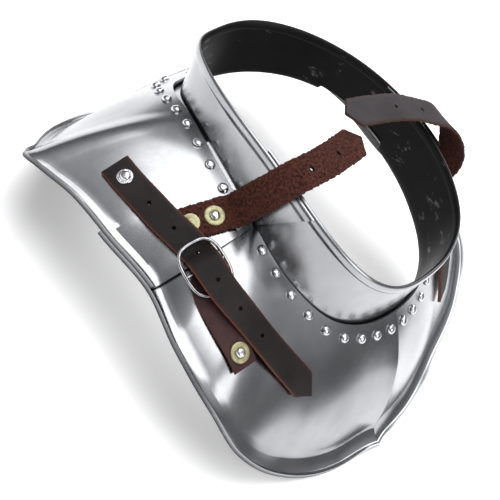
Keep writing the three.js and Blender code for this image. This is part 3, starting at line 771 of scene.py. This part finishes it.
side_strap = Strap([plate_layer(*stop) for stop in SIDE_ROUTE], on_plates(SIDE_ROUTE))
side_holes = [(HOLE_START + HOLE_PITCH * k) / side_strap.length for k in range(HOLES)]
for word, mirror in (("right", False), ("left", True)):
    piece = side_strap.mesh(f"{word}_side_leather", SIDE_WIDTH, LEATHER, SIDE_TIP, 0.25,
                            smooth_leather, side_holes, mirror)
    on_frame(piece, "smooth_leather", f"{word}_side_strap")

side_rivet_profile = [
    (0, 0), (4.6, 0), (4.8, 0.25), (4.5, 0.55), (3.5, 0.6), (3.2, 0.9), (3.0, 1.5), (2.2, 2.2), (1.2, 2.5),
    (0, 2.6),
]


def riveted(name, profile, strap, share, finish, material, nodes, mirror=False, sides=32, sink=0.05):
    place, normal, tangent = strap.at(share)
    normal = normal if normal.z > 0 else -normal
    piece = lathe(name, profile, sides, material)
    piece.data.transform(seated((place + (1 - sink) * normal + SHIFT) * 0.001, normal))
    if mirror:
        mirrored(piece)
    on_frame(smoothed(piece, 40), finish, *nodes)


for word, mirror in (("right", False), ("left", True)):
    riveted(f"{word}_side_head", side_rivet_profile, side_strap, 0.055, "rivet_steel", rivet_steel,
            [f"{word}_side_strap_rivet"], mirror)


# The buckles: an oval of round steel wire with squared shoulders and a bar across its middle, and a
# tongue that comes up through the strap's third hole and rests against the oval.
wire_steel = worked_metal("wire_steel", 300, 3, (0.22, 0.22, 0.23), (0.38, 0.38, 0.39), 1, 0.24, 0.25, 0.0004)

BUCKLE_AT = (86.3, 0.54)
BUCKLE_LIFT, BUCKLE_TILT = 8.6, 0.27
BUCKLE_HALF_LENGTH, BUCKLE_HALF_WIDTH = 15.8, 12.6
WIRE, BAR = 1.1, 0.9
TONGUE = 0.62
ROD_END = BUCKLE_HALF_WIDTH - 0.2
bar_up = plate_normal(*BUCKLE_AT)
bar_place = plate_layer(*BUCKLE_AT, BUCKLE_LIFT)
tongue_place = side_strap.at(side_holes[2])[0]
flat = plate_layer(*BAR_AT, BUCKLE_LIFT) - tongue_place
bar_along = (flat - flat.dot(bar_up) * bar_up).normalized()
bar_across = bar_up.cross(bar_along)
buckle_x = (bar_along - BUCKLE_TILT * bar_up).normalized()
buckle_z = (bar_up + BUCKLE_TILT * bar_along).normalized()
buckle_set = Matrix.Translation(bar_place) @ Matrix((buckle_x, bar_across, buckle_z)).transposed().to_4x4()


def wire(name, centres, radius, sides, closed, material):
    """A round wire through the centres, in millimetres; open ends are closed with flat caps."""
    verts, faces, count = [], [], len(centres)
    previous = None
    for i, centre in enumerate(centres):
        ahead = centres[(i + 1) % count] if closed or i < count - 1 else centre
        behind = centres[i - 1] if closed or i else centre
        tangent = (ahead - behind).normalized()
        side = tangent.cross(previous or Vector((0.02, 0.03, 1))).normalized()
        lift = side.cross(tangent)
        previous = lift
        for k in range(sides):
            angle = 2 * math.pi * k / sides
            verts.append((centre + radius[i] * (math.cos(angle) * side + math.sin(angle) * lift)) * 0.001)
    for i in range(count if closed else count - 1):
        n = (i + 1) % count
        for k in range(sides):
            m = (k + 1) % sides
            faces.append((i * sides + k, i * sides + m, n * sides + m, n * sides + k))
    if not closed:
        faces.append(tuple(range(sides - 1, -1, -1)))
        faces.append(tuple((count - 1) * sides + k for k in range(sides)))
    mesh = bpy.data.meshes.new(name)
    mesh.from_pydata(verts, [], faces)
    work = bmesh.new()
    work.from_mesh(mesh)
    bmesh.ops.recalc_face_normals(work, faces=work.faces)
    work.to_mesh(mesh)
    work.free()
    mesh.materials.append(material)
    piece = bpy.data.objects.new(name, mesh)
    bpy.context.scene.collection.objects.link(piece)
    return smoothed(piece, 60)


def joined(name, pieces):
    work = bmesh.new()
    for piece in pieces:
        work.from_mesh(piece.data)
    mesh = bpy.data.meshes.new(name)
    work.to_mesh(mesh)
    work.free()
    mesh.materials.append(pieces[0].data.materials[0])
    for piece in pieces:
        bpy.data.objects.remove(piece)
    whole = bpy.data.objects.new(name, mesh)
    bpy.context.scene.collection.objects.link(whole)
    return whole


def oval(half_length, half_width, count):
    """An oval with squared shoulders, in the plane of the buckle."""
    places = []
    for k in range(count):
        c, s = math.cos(2 * math.pi * k / count), math.sin(2 * math.pi * k / count)
        swell = (abs(c) ** 3 + abs(s) ** 3) ** (-1 / 3)
        places.append(buckle_set @ Vector((half_length * c * swell, half_width * s * swell, 0)) + SHIFT)
    return places


hole = buckle_set.inverted() @ tongue_place
tongue_stops = [
    Vector((-4.4, 0, -0.8)), hole + Vector((3.4, 0, -4.2)), hole + Vector((0.2, 0, -2.2)), hole,
    hole + Vector((-0.2, 0, 2.2)),
]
for word, mirror in (("right", False), ("left", True)):
    ring = wire("ring", oval(BUCKLE_HALF_LENGTH, BUCKLE_HALF_WIDTH, 64), [WIRE] * 64, 12, True, wire_steel)
    rod_ends = [buckle_set @ Vector((0, y, 0)) + SHIFT for y in (-ROD_END, -4, 4, ROD_END)]
    rod = wire("rod", rod_ends, [BAR] * 4, 12, False, wire_steel)
    frame_piece = joined(f"{word}_buckle_frame", [ring, rod])
    tongue_line = [buckle_set @ p + SHIFT for p, u in catmull(tongue_stops, 20)[0]]
    tongue = wire(f"{word}_tongue", tongue_line, [TONGUE] * 19 + [0.5, 0.25], 10, False, wire_steel)
    for piece, ending in ((frame_piece, "buckle"), (tongue, "buckle_tongue")):
        if mirror:
            mirrored(piece)
        on_frame(piece, "rivet_steel", f"{word}_{ending}")


# The chapes: a shorter piece of thin maroon leather under each side strap, grain side up. It is folded
# round the buckle's bar and held to the front plate by one rivet on a brass washer.
CHAPE_WIDTH, CHAPE_LEATHER = 17, 1.4
FOLD = 2.3
CHAPE_ROUTE = [
    (65.5, 0.635, 2.9), (69, 0.62, 2.8), (73, 0.615, 2.8), (78, 0.61, 2.8), (82, 0.6, 2.9),
    (84.5, 0.575, 3.6),
]
chape_foot = [plate_layer(*stop) for stop in CHAPE_ROUTE]
folded = []
for k in range(6):
    angle = math.radians(-90 - 165 * k / 5)
    folded.append(buckle_set @ Vector((FOLD * math.cos(angle), 0, FOLD * math.sin(angle))))


def chape_across(u, tangent, share):
    at = min(u, len(CHAPE_ROUTE) - 1)
    i = min(int(at), len(CHAPE_ROUTE) - 2)
    angle = CHAPE_ROUTE[i][0] + (CHAPE_ROUTE[i + 1][0] - CHAPE_ROUTE[i][0]) * (at - i)
    side = plate_normal(angle, CHAPE_ROUTE[i][1]).cross(chape_foot[1] - chape_foot[3]).normalized()
    return side.lerp(bar_across, smooth(share, 0.3, 0.75))


brass = worked_metal("brass", 500, 4, (0.20, 0.19, 0.095), (0.34, 0.325, 0.19), 0.7, 0.42, 0.2, 0.0003)

chape = Strap(chape_foot + folded, chape_across, 110)
washer_profile = [
    (0, 0), (5.9, 0), (6.2, 0.25), (6.1, 0.6), (5.7, 0.85), (4.4, 0.8), (3.5, 0.75), (3.3, 0.5), (0, 0.5),
]
head_profile = [
    (0, 0.45), (3.0, 0.45), (3.05, 0.9), (2.8, 1.5), (2.2, 2.1), (1.3, 2.5), (0.5, 2.62), (0, 2.65),
]
for word, mirror in (("right", False), ("left", True)):
    piece = chape.mesh(f"{word}_chape_leather", CHAPE_WIDTH, CHAPE_LEATHER, 0, 0.35,
                       maroon_leather, [], mirror)
    on_frame(piece, "smooth_leather", f"{word}_chape")
    riveted(f"{word}_chape_head", head_profile, chape, 0.14, "rivet_steel", rivet_steel,
            [f"{word}_chape_rivet"], mirror, sink=0.3)
    riveted(f"{word}_chape_washer_ring", washer_profile, chape, 0.14, "brass", brass,
            [f"{word}_chape_rivet"], mirror, sink=0.3)


# The shoulder straps: leather riveted beside each side strap, rising over the collar's rim and lying
# across the neck opening, with holes for a shoulder plate's buckle. The right one has its rough flesh
# side up and the left one its smooth grain side.
SHOULDER_WIDTH, SHOULDER_TIP = 20.5, 8
def shoulder_across(side):
    def across(u, tangent, share):
        foot = -side * plate_normal(side * 98, 0.3).cross(shoulder_start[side])
        level = Vector((0, -1, 0))
        return foot.normalized().lerp(level, smooth(share, 0.15, 0.45))
    return across


right_route = [
    plate_layer(99.8, 0.53, 5), plate_layer(97.3, 0.38, 5), plate_layer(95.7, 0.3, 5),
    plate_layer(94.3, 0.22, 5.8),
    Vector((-95, -4, 100)), Vector((-95.5, -8, 115)), Vector((-95, -12, 131)), Vector((-88, -15, 144)),
    Vector((-70, -17, 150)), Vector((-46, -16.5, 152)), Vector((-24, -15, 152.5)),
]
left_route = [
    plate_layer(-99.8, 0.53, 5), plate_layer(-97.3, 0.38, 5), plate_layer(-95.7, 0.3, 5),
    plate_layer(-94.3, 0.22, 5.8),
    Vector((96, -18, 99)), Vector((97, -33, 99)), Vector((98, -45, 106)), Vector((96, -46, 119)),
    Vector((91, -38, 133)), Vector((80, -27, 143)), Vector((62, -19, 147)), Vector((38, -10, 150)),
    Vector((-15, 2.4, 150)),
]
shoulder_start = {1: right_route[1] - right_route[0], -1: left_route[1] - left_route[0]}
right_shoulder = Strap(right_route, shoulder_across(1), 190)
left_shoulder = Strap(left_route, shoulder_across(-1), 220)
flat_profile = [(0, 0), (5.2, 0), (5.4, 0.2), (5.3, 0.45), (3, 0.65), (2.6, 0.95), (1.6, 1.15), (0, 1.2)]
for word, strap, hide, holes in (("right", right_shoulder, rough_leather, (0.62, 0.8)),
                                 ("left", left_shoulder, purple_leather, (0.66, 0.78))):
    piece = strap.mesh(f"{word}_shoulder_leather", SHOULDER_WIDTH, LEATHER, SHOULDER_TIP, 0.7, hide, holes)
    on_frame(piece, "rough_leather", f"{word}_shoulder_strap")
    riveted(f"{word}_shoulder_washer", washer_profile, strap, 0.14, "brass", brass,
            [f"{word}_shoulder_upper_washer"])
    riveted(f"{word}_shoulder_head", head_profile, strap, 0.14, "rivet_steel", rivet_steel,
            [f"{word}_shoulder_upper_rivet"])
    riveted(f"{word}_shoulder_lower_head", flat_profile, strap, 0.04, "brass", brass,
            [f"{word}_shoulder_lower_rivet"])
